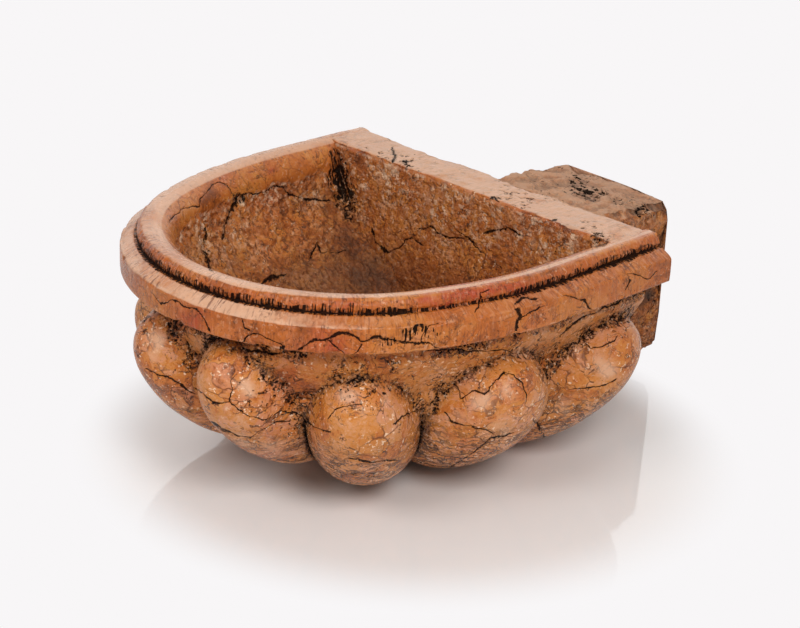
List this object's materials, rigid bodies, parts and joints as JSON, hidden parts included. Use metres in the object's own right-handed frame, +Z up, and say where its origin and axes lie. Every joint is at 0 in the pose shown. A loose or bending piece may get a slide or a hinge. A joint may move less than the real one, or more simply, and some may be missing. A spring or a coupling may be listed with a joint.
{
  "type": "holy water stoup",
  "caption": "Wall-mounted holy water stoup: a D-shaped stone basin with a stepped rim, a lobed bowl and a rough tenon that is built into the wall.",
  "frame": {"origin": "under the middle of the whole stoup's box, on the level that it rests on", "axes": "+X along the wall, +Y into the wall, +Z up; the wall's face is the plane Y = 0.106 m"},
  "size_m": [0.4, 0.544, 0.213],
  "materials": {
    "rim_marble": "honed red-brown nodular marble, tooled",
    "bowl_marble": "pecked red-brown nodular marble",
    "lobe_marble": "polished red-brown nodular marble",
    "hewn_marble": "rough-hewn red-brown nodular marble"
  },
  "bodies": {
    "root": {"rim_lip": "rim_marble", "rim_band": "rim_marble", "neck": "bowl_marble", "shoulder": "bowl_marble", "bowl": "bowl_marble", "back_wall": "bowl_marble", "wall_tenon": "hewn_marble", "lobe_front_right": "lobe_marble", "lobe_front_left": "lobe_marble", "lobe_fore_right": "lobe_marble", "lobe_fore_left": "lobe_marble", "lobe_side_right": "lobe_marble", "lobe_side_left": "lobe_marble", "lobe_wall_right": "lobe_marble", "lobe_wall_left": "lobe_marble"}
  },
  "joints": []
}
